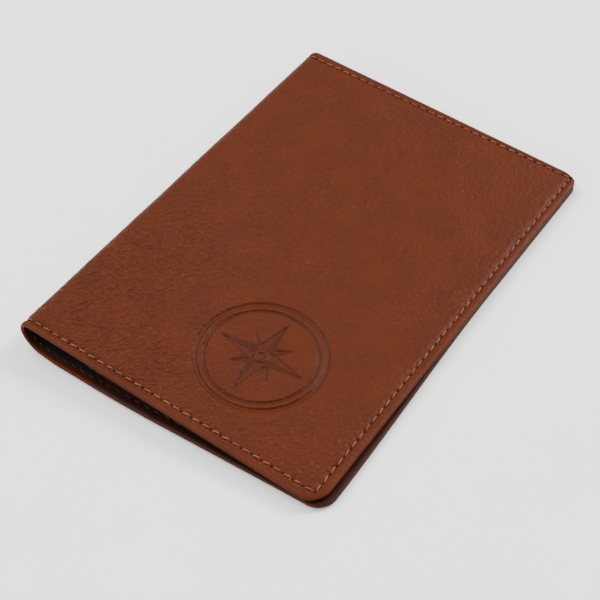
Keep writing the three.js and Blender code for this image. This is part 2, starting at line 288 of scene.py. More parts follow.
# A closed sheet on one cover: a fine grid on the face that shows, a rim of rings round three
# sides, plain strips on the face that doesn't, and a flat cut at its spine end.
def buildSheet(name, side, uLines, yLines, radius, edge, faceDepth, rings, yMid=0.0, marks=None, sharp=40):
    nu, ny = len(uLines), len(yLines)
    u, y = np.meshgrid(uLines, yLines, indexing="ij")
    zone = radius - edge
    uTop, yTop = uLines[-1], yLines[-1]
    a = np.clip(u - (uTop - zone), 0, None)
    b = np.clip(np.abs(y) - (yTop - zone), 0, None)
    inZone = (a > 1e-9) & (b > 1e-9)
    pull = np.where(inZone, np.maximum(a, b) / np.maximum(np.hypot(a, b), 1e-9), 1.0)
    u = np.where(inZone, uTop - zone + a * pull, u)
    y = np.where(inZone, np.sign(y) * (yTop - zone + b * pull), y)
    points = [place(side, u, y + yMid, faceDepth(u, y + yMid)).reshape(-1, 3)]
    uvs = [np.stack([alongLeather(side, u).ravel(), (y + yMid).ravel()], 1)]
    index = np.arange(nu * ny).reshape(nu, ny)
    faces = np.stack([index[:-1, :-1], index[1:, :-1], index[1:, 1:], index[:-1, 1:]], -1)
    faces = [tuple(f) for f in faces.reshape(-1, 4).tolist()]
    loop = np.r_[index[:, 0], index[-1, 1:], index[-2::-1, -1]]
    loopU, loopY = u.ravel()[loop], y.ravel()[loop]
    outU, outY = np.zeros(len(loop)), np.zeros(len(loop))
    outY[:nu], outU[nu:nu + ny - 2], outY[nu + ny - 2:] = -1, 1, 1
    cornerU, cornerY = loopU - (uTop - zone), np.abs(loopY) - (yTop - zone)
    curved = (cornerU > -1e-9) & (cornerY > -1e-9)
    size = np.maximum(np.hypot(cornerU, cornerY), 1e-9)
    outU = np.where(curved, cornerU / size, outU)
    outY = np.where(curved, np.sign(loopY) * cornerY / size, outY)
    chains, count, travelled = [loop], nu * ny, 0.0
    last, lastDepth = edge, 0.0
    for inset, depth in rings:
        ru, ry = loopU + outU * (edge - inset), loopY + outY * (edge - inset)
        points.append(place(side, ru, ry + yMid, depth))
        travelled += math.hypot(inset - last, depth - lastDepth)
        last, lastDepth = inset, depth
        patternU = alongLeather(side, loopU + outU * travelled)
        uvs.append(np.stack([patternU, loopY + outY * travelled + yMid], 1))
        ring = np.arange(count, count + len(loop))
        count += len(loop)
        before = chains[-1]
        quads = np.stack([before[1:], before[:-1], ring[:-1], ring[1:]], -1)
        faces += [tuple(f) for f in quads.tolist()]
        chains.append(ring)
    nearRow, farRow = chains[-1][:nu], chains[-1][::-1][:nu]
    strips = np.stack([nearRow[:-1], farRow[:-1], farRow[1:], nearRow[1:]], -1)
    faces += [tuple(f) for f in strips.tolist()]
    faces.append(tuple(int(k) for k in chains[-1][nu - 1:nu - 1 + ny][::-1]))
    wall = [int(k) for k in index[0, :]] + [int(c[-1]) for c in chains[1:]]
    wall += [int(c[0]) for c in chains[1:]][::-1]
    faces.append(tuple(wall))
    points = np.concatenate(points)
    faces = facesOut(points, faces)
    filled = {}
    for key, (values, rest) in (marks or {}).items():
        top = values(u, y + yMid).ravel()
        filled[key] = np.r_[top, np.full(len(points) - nu * ny, rest)]
    return addMesh(name, points, faces, np.concatenate(uvs) * uvPerMm, filled, sharp)


def linear(hexColour):
    parts = [int(hexColour[k:k + 2], 16) / 255 for k in (1, 3, 5)]
    return [c / 12.92 if c <= 0.04045 else ((c + 0.055) / 1.055) ** 2.4 for c in parts] + [1.0]


def addNode(tree, kind, inputs=None, **settings):
    made = tree.nodes.new(kind)
    for key, value in settings.items():
        setattr(made, key, value)
    for key, value in (inputs or {}).items():
        socket = made.inputs[key]
        if isinstance(value, bpy.types.NodeSocket):
            tree.links.new(value, socket)
        else:
            socket.default_value = value
    return made


def newMaterial(name, roughness, specular, sheen=0.0, coat=0.0):
    material = bpy.data.materials.new(name)
    material.use_nodes = True
    shader = material.node_tree.nodes["Principled BSDF"]
    shader.inputs["Roughness"].default_value = roughness
    shader.inputs["Specular IOR Level"].default_value = specular
    shader.inputs["Sheen Weight"].default_value = sheen
    shader.inputs["Coat Weight"].default_value = coat
    return material, material.node_tree, shader


def mathNode(tree, operation, *values, clamp=False):
    inputs = dict(enumerate(values))
    return addNode(tree, "ShaderNodeMath", inputs, operation=operation, use_clamp=clamp).outputs[0]


def vectorNode(tree, operation, *values):
    inputs = dict(enumerate(values))
    return addNode(tree, "ShaderNodeVectorMath", inputs, operation=operation).outputs[0]


def blendColour(tree, share, first, second, kind="MIX"):
    inputs = {0: share, 6: first, 7: second}
    return addNode(tree, "ShaderNodeMix", inputs, data_type="RGBA", blend_type=kind).outputs[2]


def ramp(tree, value, low, high):
    inputs = {"Value": value, "From Min": low, "From Max": high}
    return addNode(tree, "ShaderNodeMapRange", inputs, interpolation_type="SMOOTHSTEP").outputs[0]


def objectMm(tree):
    where = addNode(tree, "ShaderNodeTexCoord").outputs["Object"]
    return vectorNode(tree, "MULTIPLY", where, (1 / metresPerMm,) * 3)


def uvMm(tree):
    uv = addNode(tree, "ShaderNodeUVMap", uv_map="leatherUv").outputs[0]
    return vectorNode(tree, "MULTIPLY", uv, (1 / uvPerMm,) * 3)


def inverse(tree, value):
    return mathNode(tree, "SUBTRACT", 1.0, value)


def noiseOf(tree, where, millimetres, detail=2.0, roughness=0.5, distortion=0.0):
    inputs = {
        "Vector": where,
        "Scale": 1.0 / millimetres,
        "Detail": detail,
        "Roughness": roughness,
        "Distortion": distortion,
    }
    return addNode(tree, "ShaderNodeTexNoise", inputs)


# Full-grain cowhide, drum-dyed chestnut and tumbled, so that its grain stands up in soft pebbles.
# The dips between the pebbles and the wrinkle folds are darkened with painted shade, and the crests are
# lightened with a painted highlight. Where the hide is loose it wrinkles along the spine; pressing and
# stretching flatten the grain.
def pebbledLeather(name, tone):
    material, tree, shader = newMaterial(name, tone["roughness"], tone["specular"])
    inMm = uvMm(tree)
    read = {}
    for key in ("pressed", "holeShade", "stretched", "loose", "rimShade"):
        read[key] = addNode(tree, "ShaderNodeAttribute", attribute_name=key).outputs["Fac"]
    wander = noiseOf(tree, inMm, tone["pebble"] * 1.9, 1.0).outputs["Color"]
    bent = vectorNode(tree, "MULTIPLY_ADD", wander, (tone["pebble"] * 0.7,) * 3, inMm)
    domes = []
    for share, shift in ((1.0, 0.0), (0.56, 31.7)):
        inputs = {
            "Vector": vectorNode(tree, "ADD", bent, (shift, shift, 0)),
            "Scale": 1 / (tone["pebble"] * share),
            "Smoothness": 0.35,
            "Randomness": 1.0,
        }
        cell = addNode(tree, "ShaderNodeTexVoronoi", inputs, voronoi_dimensions="2D", feature="SMOOTH_F1")
        domes.append(ramp(tree, cell.outputs["Distance"], 0.62, 0.12))
    turn = (0, 0, math.radians(tone["wrinkleTurn"]))
    turned = addNode(tree, "ShaderNodeMapping", {"Vector": bent, "Rotation": turn})
    squeezed = vectorNode(tree, "MULTIPLY", turned.outputs[0], (1.0, tone["wrinkleStretch"], 1.0))
    furrow = noiseOf(tree, squeezed, tone["wrinkle"], 2.0, 0.55).outputs[0]
    furrow = ramp(tree, mathNode(tree, "ABSOLUTE", mathNode(tree, "SUBTRACT", furrow, 0.5)), 0.0, 0.11)
    loose = read["loose"]
    patch = ramp(tree, noiseOf(tree, inMm, 12.0, 1.0).outputs[0], 0.36, 0.64)
    pressed = mathNode(tree, "MULTIPLY", read["pressed"], 0.8)
    flat = mathNode(tree, "MAXIMUM", pressed, mathNode(tree, "MULTIPLY", read["stretched"], 0.5))
    relief = mathNode(tree, "SUBTRACT", 1.0, flat, clamp=True)
    pores = noiseOf(tree, inMm, 0.3, 2.0, 0.6).outputs[0]
    strength = mathNode(tree, "MULTIPLY_ADD", loose, 0.78, 0.22)
    grainHeight = mathNode(tree, "MULTIPLY", domes[0], strength)
    small = mathNode(tree, "MULTIPLY", domes[1], mathNode(tree, "MULTIPLY_ADD", patch, 0.1, 0.07))
    grainHeight = mathNode(tree, "ADD", grainHeight, small)
    folds = mathNode(tree, "MULTIPLY", furrow, mathNode(tree, "MULTIPLY", loose, 0.75))
    grainHeight = mathNode(tree, "ADD", grainHeight, folds)
    height = mathNode(tree, "MULTIPLY", grainHeight, relief)
    height = mathNode(tree, "MULTIPLY_ADD", pores, 0.07, height)
    mottleBig = ramp(tree, noiseOf(tree, inMm, 11.0, 3.0, 0.6).outputs[0], 0.36, 0.64)
    mottleSmall = ramp(tree, noiseOf(tree, inMm, 2.4, 3.0, 0.65).outputs[0], 0.3, 0.7)
    body = blendColour(tree, mottleBig, linear(tone["red"]), linear(tone["brown"]))
    body = blendColour(tree, mathNode(tree, "MULTIPLY", mottleSmall, 0.4), body, linear(tone["light"]))
    raised = mathNode(tree, "MULTIPLY_ADD", domes[1], 0.3, mathNode(tree, "MULTIPLY", domes[0], 0.7))
    # Painted shade: the dips between the pebbles and the wrinkle folds are darkened towards the crease
    # colour.
    low = ramp(tree, inverse(tree, raised), 0.35, 0.95)
    foldShade = mathNode(tree, "MULTIPLY", mathNode(tree, "SUBTRACT", 1.0, furrow), loose)
    low = mathNode(tree, "MAXIMUM", mathNode(tree, "MULTIPLY", low, strength), foldShade)
    low = mathNode(tree, "MULTIPLY", mathNode(tree, "MULTIPLY", low, relief), tone["creaseShadeShare"], clamp=True)
    body = blendColour(tree, low, body, linear(tone["crease"]))
    # Painted highlight: the pebble crests are lightened towards the crest colour.
    crestHighlight = ramp(tree, mathNode(tree, "MULTIPLY", domes[0], pores), 0.46, 0.7)
    crestHighlight = mathNode(tree, "MULTIPLY", mathNode(tree, "MULTIPLY", crestHighlight, strength), tone["crestHighlightShare"])
    body = blendColour(tree, crestHighlight, body, linear(tone["crestHighlight"]))
    body = blendColour(tree, mathNode(tree, "MULTIPLY", read["pressed"], 0.1), body, linear(tone["crease"]))
    # Painted shade: the walls of each pressed mark are darkened towards the crease colour.
    slope = mathNode(tree, "MULTIPLY", read["pressed"], mathNode(tree, "SUBTRACT", 1.0, read["pressed"]))
    body = blendColour(tree, mathNode(tree, "MULTIPLY", slope, 2.2, clamp=True), body, linear(tone["crease"]))
    # Painted shade: the back cover's rim and turned-in margin are darkened a little.
    body = blendColour(tree, mathNode(tree, "MULTIPLY", read["rimShade"], 0.7), body, linear(tone["crease"]))
    # Painted shade in the needle holes: the leather darkens towards the hole colour round each one.
    body = blendColour(tree, ramp(tree, read["holeShade"], 0.2, 0.6), body, linear(tone["holeShade"]))
    tree.links.new(body, shader.inputs["Base Color"])
    gloss = mathNode(tree, "MULTIPLY_ADD", mottleSmall, 0.1, tone["roughness"] - 0.05)
    gloss = mathNode(tree, "MULTIPLY_ADD", low, 0.15, gloss)
    tree.links.new(gloss, shader.inputs["Roughness"])
    inputs = {"Height": height, "Strength": 1.0, "Distance": tone["reliefMm"] * metresPerMm}
    tree.links.new(addNode(tree, "ShaderNodeBump", inputs).outputs[0], shader.inputs["Normal"])
    return material


chestnut = {
    "pebble": 1.5,
    "reliefMm": 0.23,
    "wrinkle": 2.4,
    "wrinkleStretch": 0.35,
    "wrinkleTurn": 21.0,
    "roughness": 0.5,
    "specular": 0.09,
    "red": "#491c06",
    "brown": "#431a06",
    "light": "#4c1e08",
    # Painted shade colour: the pebble dips, wrinkle folds, mark walls and back rim are darkened towards it,
    # and the pressed floor a little.
    "crease": "#2b1105",
    "creaseShadeShare": 0.13,
    # Painted highlight colour for the pebble crests, and how much of it is laid on.
    "crestHighlight": "#6f4024",
    "crestHighlightShare": 0.5,
    # Painted shade colour for the needle holes.
    "holeShade": "#1a0502",
}
outerLeather = pebbledLeather("chestnutPebbledCowhide", chestnut)

# The same hide split thinner and plated smooth, so only a faint small grain is left, in a darker brown that
# is mostly painted shade for the shade in the gap between the covers.
smoothHide = dict(chestnut, pebble=0.75, reliefMm=0.05, roughness=0.46, creaseShadeShare=0.2, crestHighlightShare=0.12)
smoothHide.update(red="#2c130a", brown="#26110a", light="#30170e", crease="#170a05")
pocketLeather = pebbledLeather("darkPlatedPocketLeather", smoothHide)


# Waxed polyester thread: two plies twisted together, tan, with a soft waxy shine.
def waxedThread(name, tone):
    material, tree, shader = newMaterial(name, tone["roughness"], tone["specular"])
    inMm = objectMm(tree)
    dye = ramp(tree, noiseOf(tree, inMm, 5.0, 2.0).outputs[0], 0.35, 0.65)
    fibre = noiseOf(tree, inMm, 0.14, 3.0, 0.7).outputs[0]
    body = blendColour(tree, dye, linear(tone["tan"]), linear(tone["light"]))
    shade = ramp(tree, fibre, 0.62, 0.3)
    body = blendColour(tree, mathNode(tree, "MULTIPLY", shade, 0.55), body, linear(tone["dark"]))
    tree.links.new(body, shader.inputs["Base Color"])
    bump = addNode(tree, "ShaderNodeBump", {"Height": fibre, "Strength": 0.8, "Distance": 0.00003}).outputs[0]
    tree.links.new(bump, shader.inputs["Normal"])
    return material


thread = {"tan": "#70391d", "light": "#824c2b", "dark": "#3f1e0f", "roughness": 0.6, "specular": 0.25}
topThread = waxedThread("tanWaxedThread", thread)
darkThread = dict(thread, tan="#2e1a11", light="#3b2418", dark="#1a0e08")
innerThread = waxedThread("darkBrownBobbinThread", darkThread)


# The lining's weave, where warp and weft pass over each other.
def overUnder(tree, waves):
    over = mathNode(tree, "GREATER_THAN", mathNode(tree, "MULTIPLY", *waves), 0.0)
    warp, weft = (mathNode(tree, "ABSOLUTE", wave) for wave in waves)
    warp = mathNode(tree, "MULTIPLY", over, warp)
    weft = mathNode(tree, "MULTIPLY", inverse(tree, over), weft)
    return mathNode(tree, "ADD", warp, weft)


# The pocket tails' flatter weave: fine ribs both ways.
def crossedRibs(tree, waves):
    return mathNode(tree, "MULTIPLY", *(mathNode(tree, "ABSOLUTE", wave) for wave in waves))


# Polyester lining taffeta in dark brown: a plain weave, its threads 0.35 mm apart so that the
# weave shows, closer in the real cloth. It frays the light and hardly shines.
def wovenCloth(name, tone, placeMm, weave):
    material, tree, shader = newMaterial(name, tone["roughness"], tone["specular"], tone["sheen"])
    inMm = placeMm(tree)
    parts = addNode(tree, "ShaderNodeSeparateXYZ", {0: inMm})
    waves = []
    for axis in (0, 1):
        phase = mathNode(tree, "MULTIPLY", parts.outputs[axis], math.pi / tone["threadMm"])
        waves.append(mathNode(tree, "SINE", phase))
    high = weave(tree, waves)
    slub = noiseOf(tree, inMm, 3.0, 3.0).outputs[0]
    body = blendColour(tree, slub, linear(tone["dark"]), linear(tone["light"]))
    # Painted shade: the weave is darkened where its threads dip, between them.
    gap = mathNode(tree, "MULTIPLY", inverse(tree, high), 0.6)
    body = blendColour(tree, gap, body, linear(tone["gap"]))
    tree.links.new(body, shader.inputs["Base Color"])
    bump = addNode(tree, "ShaderNodeBump", {"Height": high, "Strength": 0.7, "Distance": 0.00005}).outputs[0]
    tree.links.new(bump, shader.inputs["Normal"])
    return material


cloth = {
    "threadMm": 0.35,
    "dark": "#15100e",
    "light": "#1e1714",
    "gap": "#080605",
    "roughness": 0.7,
    "specular": 0.15,
    "sheen": 0.0,
}
liningMaterial = wovenCloth("darkBrownLiningTaffeta", cloth, uvMm, overUnder)
tailMaterial = wovenCloth("darkBrownPocketTaffeta", cloth, objectMm, crossedRibs)


# Bonded leather fibre board: grey-brown pulp pressed flat, matt, flecked with short fibres.
def fibreBoard(name, tone):
    material, tree, shader = newMaterial(name, tone["roughness"], tone["specular"])
    inMm = objectMm(tree)
    fleck = noiseOf(tree, inMm, 0.6, 4.0, 0.7, 0.6).outputs[0]
    cloud = noiseOf(tree, inMm, 6.0, 2.0).outputs[0]
    body = blendColour(tree, cloud, linear(tone["pulp"]), linear(tone["pale"]))
    body = blendColour(tree, ramp(tree, fleck, 0.52, 0.68), body, linear(tone["fleck"]))
    tree.links.new(body, shader.inputs["Base Color"])
    bump = addNode(tree, "ShaderNodeBump", {"Height": fleck, "Strength": 0.5, "Distance": 0.00004}).outputs[0]
    tree.links.new(bump, shader.inputs["Normal"])
    return material


board = {"pulp": "#6b5544", "pale": "#8a725e", "fleck": "#4a382c", "roughness": 0.85, "specular": 0.2}
boardMaterial = fibreBoard("bondedFibreBoard", board)
print("materials made")


emblem = {
    "centre": (56.5, -41.0),
    "outerRing": (17.6, 0.55),
    "innerRing": (15.3, 0.36),
    "longPoint": (13.4, 2.9),
    "shortPoint": (8.6, 2.3),
    "hub": (2.0, 1.1),
    "depth": 0.42,
    "wall": 0.45,
    "rightHalf": 0.4,
}


# A plain eight-pointed compass star between two rings, pressed blind into the front cover. Seen
# from its hub, the left half of each point goes down two and a half times as far as the right.
def pressedDepth(side, u, y):
    if side == "back":
        return np.zeros(np.shape(u))
    x = u - emblem["centre"][0]
    z = y - emblem["centre"][1]
    r = np.hypot(x, z)
    wall, shallow = emblem["wall"], emblem["rightHalf"]

    def tool(distance):
        return smooth(wall / 2, -wall / 2, distance)

    result = np.zeros(np.shape(u))
    for radius, half in (emblem["outerRing"], emblem["innerRing"]):
        result = np.maximum(result, tool(np.abs(r - radius) - half))
    star = np.zeros(np.shape(u))
    for kind, turned in (("shortPoint", math.pi / 4), ("longPoint", 0.0)):
        reach, base = emblem[kind]
        angle = np.arctan2(z, x) - turned
        fold = angle - np.round(angle / (math.pi / 2)) * (math.pi / 2)
        out, across = r * np.cos(fold), r * np.sin(fold)
        slope = math.cos(math.atan2(base, reach))
        inside = tool((np.abs(across) - base * (1 - out / reach)) * slope)
        level = shallow + (1 - shallow) * smooth(-0.25, 0.25, across)
        star = np.where(inside > 0.02, np.maximum(inside * level, 0), star)
    hub, rim = emblem["hub"]
    star = star * smooth(hub - 0.2, hub + 0.3, r)
    result = np.maximum(result, star)
    result = np.maximum(result, tool(r - rim))
    return result


grain = {
    "seamValley": 0.3,
    "seamWidth": 0.8,
    "pit": 0.32,
    "pebble": 0.045,
    "wrinkle": 0.14,
    "swell": 0.09,
    "pillow": 0.05,
    "pebbleMm": 1.5,
    "creaseRun": (0.93, 0.37),
    "creases": ((1.7, 5.0, 1.0, 11), (1.1, 3.0, 0.6, 12)),
    "swells": ((24, 1.0, 31), (9, 0.4, 32)),
}


# How loosely the hide lies: it wrinkles most where it leaves the spine, at the near end. Each pair
# is where the looseness starts and where it is full.
slack = {
    "awayFromSpine": (62, 2),
    "pastBend": (-6, 3),
    "nearEnd": (35, -45),
    "nearEdge": (-35, -66),
    "patchMm": 13,
    "everywhere": 0.12,
}


def looseness(side):
    def loose(u, y):
        fromSpine = smooth(*slack["awayFromSpine"], u) * smooth(*slack["pastBend"], u)
        nearEnd = smooth(*slack["nearEnd"], y)
        patch = softNoise(alongLeather(side, u) / slack["patchMm"], y / slack["patchMm"], 19)
        nearEdge = 0.45 * smooth(*slack["nearEdge"], y)
        total = fromSpine * (0.2 + 0.7 * nearEnd) + nearEdge + 0.2 * patch + slack["everywhere"]
        return np.clip(total, 0, 1)

    return loose


def outerFace(side):
    length = covers[side]["length"]
    looseHide = looseness(side)

    def depth(u, y):
        s = alongLeather(side, u)
        rimGap = np.minimum(halfHeight - np.abs(y), length - u)
        calm = smooth(0.9, 2.4, rimGap)
        loose = looseHide(u, y)
        most, least = grain["creaseRun"]
        across = most * s - least * y + 1.2 * softNoise(s / 7, y / 7, 10)
        run = least * s + most * y
        crease = 0.0
        for wide, long, share, seed in grain["creases"]:
            crease = crease + share * softNoise(across / wide, run / long, seed)
        wrinkle = grain["wrinkle"] * loose * (1 - np.minimum(np.abs(crease) * 1.6, 1)) ** 1.5
        wanderS, wanderY = (0.35 * softNoise(s / 3, y / 3, seed) for seed in (16, 17))
        pebbles = grainCells(s / grain["pebbleMm"] + wanderS, y / grain["pebbleMm"] + wanderY, 21)
        pebbles = grain["pebble"] * (1 - smooth(0, 0.6, pebbles)) * (0.4 + 0.6 * loose)
        swell = 0.0
        for wide, share, seed in grain["swells"]:
            swell = swell + share * grain["swell"] * softNoise(s / wide, y / wide, seed)
        seam = seamDistance(side, u, y)
        valley = grain["seamValley"] * np.exp(-((seam / grain["seamWidth"]) ** 2))
        pit = grain["pit"] * holeCloseness(side, u, y, 0.5, 0.42)
        pillow = -grain["pillow"] * np.exp(-(((rimGap - rimBead["reach"]) / 0.7) ** 2))
        pressed = pressedDepth(side, u, y)
        bySeam = 1 - 0.5 * np.exp(-((seam / 1.1) ** 2))
        plain = (wrinkle + pebbles) * (1 - 0.75 * np.minimum(pressed, 1)) * bySeam
        return 0.06 + calm * (plain + swell) + valley + pit + pillow + emblem["depth"] * pressed

    return depth


rimBead = {"reach": 1.35, "top": 0.01, "widest": 0.62, "bottom": 1.25}


# The folded edge in section, as (inset, depth): round over the top, full at the middle, and back
# in underneath to the thinner turned-in margin.
def rimRings():
    reach, top, widest, bottom = (rimBead[k] for k in ("reach", "top", "widest", "bottom"))
    rings = []
    for angle in np.radians(np.arange(14, 91, 12)):
        rings.append((reach * (1 - math.sin(angle)), widest - (widest - top) * math.cos(angle)))
    for angle in np.radians(np.arange(106, 181, 18)):
        rings.append((0.55 * (1 - math.sin(angle)), widest - (bottom - widest) * math.cos(angle)))
    return rings + [(1.1, bottom - 0.05), (1.8, 1.0), (5.1, 1.0), (5.15, 0.58)]


turnedIn = rimRings()
edgeStart = rimBead["reach"]

# Grid stops along each way, finest where the seam, the mark and the wrinkles need it.
leatherStops = {
    "y": ((-68.65, 0.3), (-65.8, 0.28), (-59.6, 0.5), (-22.4, 0.33), (65.8, 0.5), (68.65, 0.28)),
    "halfY": ((0, 1), (22.4, 0.5), (59.6, 0.5), (65.8, 0.45), (68.65, 0.28)),
    "front": ((-5.28, 0.1), (0.0, 0.45), (35.5, 0.5), (73.5, 0.33), (88.0, 0.5)),
    "back": ((-9.6, 0.1), (0.0, 0.5), (85.3, 0.7)),
}


def leatherGrid(side):
    cover = covers[side]
    u = spread((-cover["bend"], 0.1), *leatherStops[side], (cover["length"] - edgeStart, 0.3))
    if side == "front":
        return u, spread(*leatherStops["y"])
    half = spread(*leatherStops["halfY"])
    return u, np.r_[-half[::-1], half[1:]]


def makeOuterLeather(side):
    uLines, yLines = leatherGrid(side)
    marks = {
        "pressed": (lambda u, y: np.minimum(pressedDepth(side, u, y), 1), 0.0),
        # This mark places the painted shade in the needle holes.
        "holeShade": (lambda u, y: holeCloseness(side, u, y, 0.52, 0.3), 0.0),
        "stretched": (lambda u, y: smooth(0.5, -3.0, u) + 0 * y, 0.7),
        "loose": (looseness(side), 0.0),
        # Painted shade: on the back cover every vertex off the face is marked to be darkened.
        "rimShade": (flatDepth(0.0), 0.1 if side == "back" else 0.0),
    }
    name = "outerLeather" + side.capitalize()
    piece = buildSheet(
        name,
        side,
        uLines,
        yLines,
        holder["cornerRadius"],
        edgeStart,
        outerFace(side),
        turnedIn,
        marks=marks,
        sharp=50,
    )
    piece.data.materials.append(outerLeather)
    return piece


outerPieces = {side: makeOuterLeather(side) for side in ("back", "front")}
for side, piece in outerPieces.items():
    print(piece.name, "faces", len(piece.data.polygons))


def bendWith(piece, side, *nodes):
    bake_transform(piece)
    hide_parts(*nodes)


for side, piece in outerPieces.items():
    bendWith(piece, side, side + "_outer_leather", "spine_outer_leather")
print("outer leather made")

liningCut = {"inset": 1.9, "step": 3.0}


def makeLining(side):
    inset, cover = liningCut["inset"], covers[side]
    lo, hi = holder["liningDepth"]
    uLines = spread((-cover["bend"], 0.5), (0.0, 0.5), (cover["length"] - inset - 0.2, liningCut["step"]))
    yLines = spread((-halfHeight + inset + 0.2, 1), (halfHeight - inset - 0.2, liningCut["step"]))
    name = "lining" + side.capitalize()

    def depth(u, y):
        return hi + 0.02 * softNoise(u / 12, y / 12, 41)

    piece = buildSheet(
        name, side, uLines, yLines, holder["cornerRadius"] - inset, 0.2, depth, [(0.0, hi - 0.03), (0.0, lo)]
    )
    piece.data.materials.append(liningMaterial)
    bendWith(piece, side, side + "_lining", "spine_lining")


for side in ("back", "front"):
    makeLining(side)
tapeBox = [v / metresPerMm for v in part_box("spine_reinforcement_tape")[1]]


tapeDepth = (0.88, 0.72)


def makeTape(side):
    uLines = spread((-covers[side]["bend"], 0.5), (0.0, 0.6), (1.4, 0.7))
    yLines = spread((-tapeBox[1], 1), (tapeBox[1], 6.0))
    name = "spineTape" + side.capitalize()
    inner, outer = tapeDepth
    rings = [(0.0, inner - 0.01), (0.0, outer)]
    piece = buildSheet(name, side, uLines, yLines, 0.02, 0.01, flatDepth(inner), rings)
    piece.data.materials.append(boardMaterial)
    bendWith(piece, side, "spine_reinforcement_tape")


for side in ("back", "front"):
    makeTape(side)
print("lining and spine tape made")

sleeve = {"edgeInset": 0.08, "hemInset": 2.5, "hemHalf": 66.0, "step": 1.4, "corner": 5.42}
bodyOf = {"back": "back_cover", "front": "front_cover"}


def makeSleeve(side):
    length = covers[side]["length"]
    lo, hi = holder["sleeveDepth"]
    mouth = length - holder["sleeveWidth"]
    hem = mouth + sleeve["hemInset"]
    top = halfHeight - sleeve["edgeInset"] - 0.15
    uLines = spread(
        (mouth, 1),
        (mouth + 0.3, 0.15),
        (hem - 0.8, 0.5),
        (hem + 0.8, 0.25),
        (length - 4.2, sleeve["step"]),
        (length - sleeve["edgeInset"] - 0.15, 0.35),
    )
    half = spread((0, 1), (65.8, sleeve["step"]), (top, 0.35))
    yLines = np.r_[-half[::-1], half[1:]]

    def depth(u, y):
        seam = seamDistance(side, u, y)
        alongHem = smooth(sleeve["hemHalf"] + 0.5, sleeve["hemHalf"] - 0.5, np.abs(y))
        hemValley = np.exp(-(((u - hem) / 0.7) ** 2)) * alongHem
        cut = smooth(mouth + 0.35, mouth, u)
        rimCut = smooth(0.5, 0.1, np.minimum(length - u, halfHeight - np.abs(y)) - sleeve["edgeInset"])
        swell = 0.05 * softNoise(u / 14, y / 14, 51)
        flat = hi + swell * smooth(0, 6, seam) - 0.14 * np.exp(-((seam / 0.8) ** 2))
        return flat - 0.1 * hemValley - 0.07 * cut - 0.08 * rimCut

    marks = {
        "pressed": (lambda u, y: np.exp(-(((u - hem + 1.1) / 0.25) ** 2)) * 0.6, 0.0),
        # This mark places the painted shade in the needle holes.
        "holeShade": (lambda u, y: holeCloseness(side, u, y, 0.42, 0.36), 0.0),
        "stretched": (lambda u, y: 0 * u, 0.3),
    }
    rings = [(0.0, hi - 0.16), (0.0, lo + 0.02)]
    name = side + "PassportSleeve"
    piece = buildSheet(name, side, uLines, yLines, sleeve["corner"], 0.15, depth, rings, marks=marks)
    piece.data.materials.append(pocketLeather)
    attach(piece, bodyOf[side])
    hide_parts(side + "_passport_sleeve")


for side in ("back", "front"):
    makeSleeve(side)

cards = {
    "u": (22.87, 81.87),
    "bottom": -62.0,
    "mouths": (14.0, 28.0, 42.0),
    "mouthGap": 0.3,
    "depth": (2.02, 2.44),
    "seamInset": 1.5,
    "lipInset": 1.3,
    "cutEdge": 0.12,
    "step": 1.6,
}


def makeFacing(number):
    low = cards["bottom"] if number == 0 else cards["mouths"][number - 1] + cards["mouthGap"]
    high = cards["mouths"][number]
    uLow, uHigh = cards["u"]
    lo, hi = cards["depth"]
    middle, half = (low + high) / 2, (high - low) / 2
    edge, lipInset = cards["cutEdge"], cards["lipInset"]
    stops = ((uLow, 1), (uLow + 0.3, 0.15), (uLow + 3, 0.4), (uHigh - 3, cards["step"]), (uHigh - edge, 0.4))
    uLines = spread(*stops)
    reach = spread((0, 1), (half - 2.5, cards["step"]), (half - edge, 0.35))
    yLines = np.r_[-reach[::-1], reach[1:]]

    def depth(u, y):
        side = np.minimum(u - uLow, uHigh - u)
        seam = np.abs(side - cards["seamInset"])
        seam = np.minimum(seam, np.abs(y - cards["bottom"] - cards["seamInset"]) if number == 0 else 99)
        lip = np.exp(-(((high - y - lipInset) / 0.22) ** 2))
        cut = smooth(0.35, 0.0, np.minimum(side, np.minimum(high - y, y - low)))
        bow = 0.05 * np.sin(math.pi * (u - uLow) / (uHigh - uLow)) * smooth(high - 12, high, y)
        swell = 0.04 * softNoise(u / 11, y / 11, 61 + number)
        return hi + bow + swell - 0.12 * np.exp(-((seam / 0.7) ** 2)) - 0.06 * lip - 0.09 * cut

    marks = {
        "pressed": (lambda u, y: np.exp(-(((high - y - lipInset) / 0.25) ** 2)) * 0.7, 0.0),
        "holeShade": (lambda u, y: 0 * u, 0.0),
        "stretched": (lambda u, y: 0 * u, 0.3),
    }
    name = "cardFacing" + str(number + 1)
    rings = [(0.0, hi - 0.2), (0.0, lo)]
    corner = edge + 0.02
    piece = buildSheet(name, "front", uLines, yLines, corner, edge, depth, rings, yMid=middle, marks=marks)
    piece.data.materials.append(pocketLeather)
    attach(piece, "front_cover")
    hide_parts("card_facing_" + str(number + 1))


for number in range(3):
    makeFacing(number)
print("sleeves and card facings made")

# Width is in millimetres, and sink in thread widths.
stitch = {
    "width": 0.44,
    "sink": 1.1,
    "plies": 1.4,
    "rings": 9,
    "sides": 6,
    "share": 0.7,
    "slantDegrees": 7.0,
    "wobbleDegrees": 3.0,
    "seed": 4,
}


